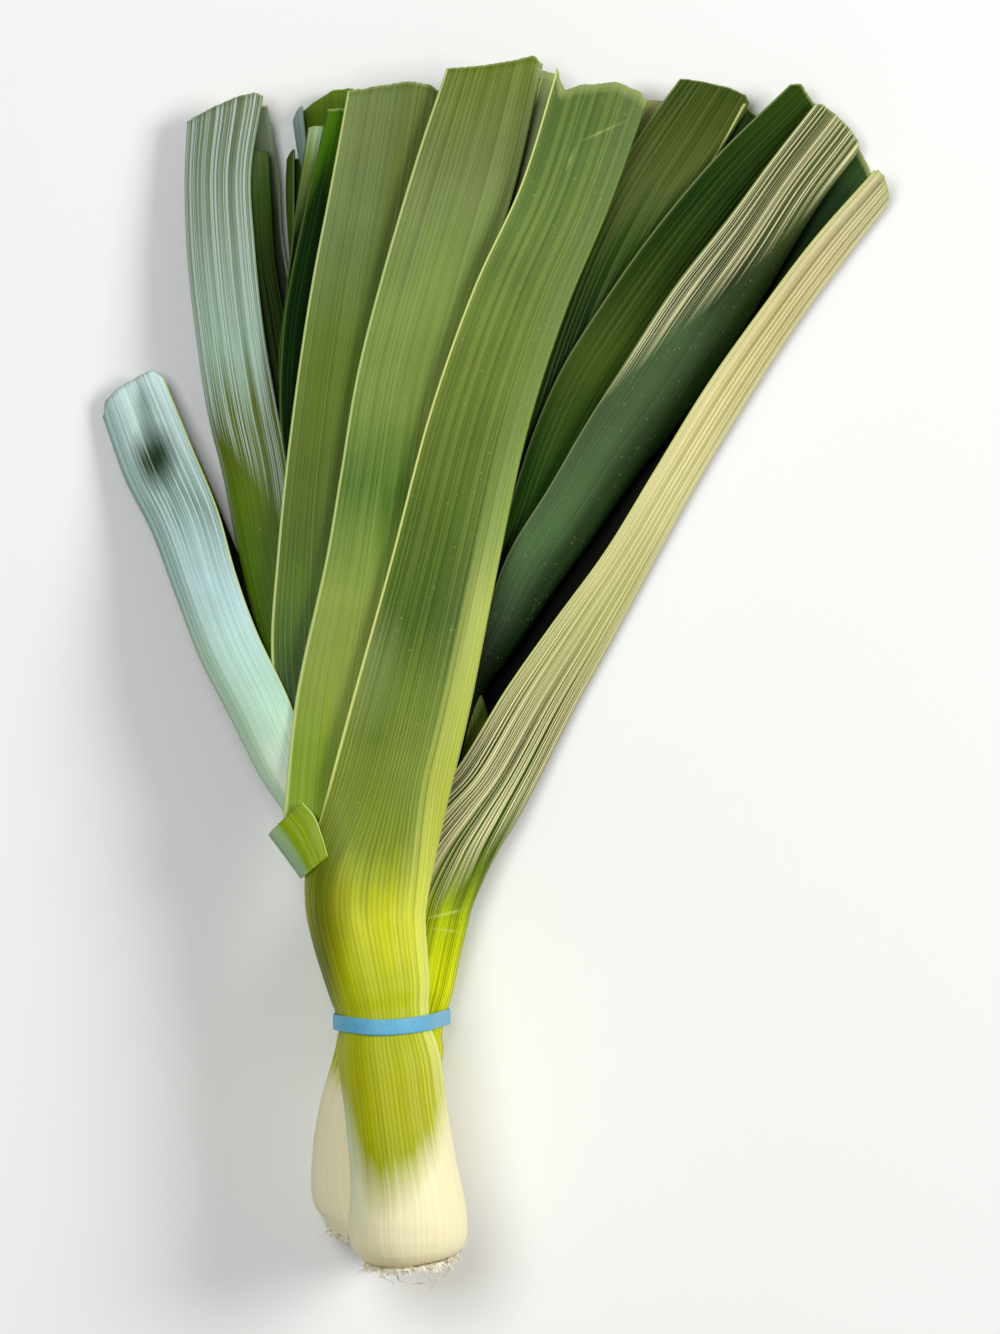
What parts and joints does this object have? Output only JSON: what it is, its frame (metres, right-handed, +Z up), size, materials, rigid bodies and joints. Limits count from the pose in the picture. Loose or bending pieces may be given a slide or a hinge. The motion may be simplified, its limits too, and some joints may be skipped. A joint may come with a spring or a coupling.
{
  "type": "leek",
  "caption": "Fresh leeks crossed and held by a rubber band, lying down: white bulb ends with trimmed roots, green shafts and flat fans of folded, straight-cut leaves.",
  "frame": {"origin": "on the table, under the middle of the bunch's bounding box", "axes": "+Z up from the table, +Y from the roots to the cut leaf tips, +X to the right seen from above"},
  "size_m": [0.3169, 0.4919, 0.0856],
  "materials": {
    "leek_skin": "smooth waxy skin, white at the root end",
    "leaf_blade": "finely ribbed and waxy",
    "roots": "fibrous",
    "band": "matte"
  },
  "bodies": {
    "root": {"front_shaft_and_outer_leaf": "leek_skin", "front_leaf_2_cut_short": "leaf_blade", "front_leaf_3": "leaf_blade", "front_leaf_4": "leaf_blade", "front_leaf_5": "leaf_blade", "front_leaf_6": "leaf_blade", "front_leaf_7": "leaf_blade", "front_leaf_8": "leaf_blade", "front_leaf_9": "leaf_blade", "rear_shaft_and_outer_leaf": "leek_skin", "rear_leaf_2": "leaf_blade", "rear_leaf_3": "leaf_blade", "rear_leaf_4": "leaf_blade", "rear_leaf_5": "leaf_blade", "rear_leaf_6": "leaf_blade", "rear_leaf_7": "leaf_blade", "front_root_plate": "roots", "rear_root_plate": "roots", "rubber_band": "band"}
  },
  "joints": []
}
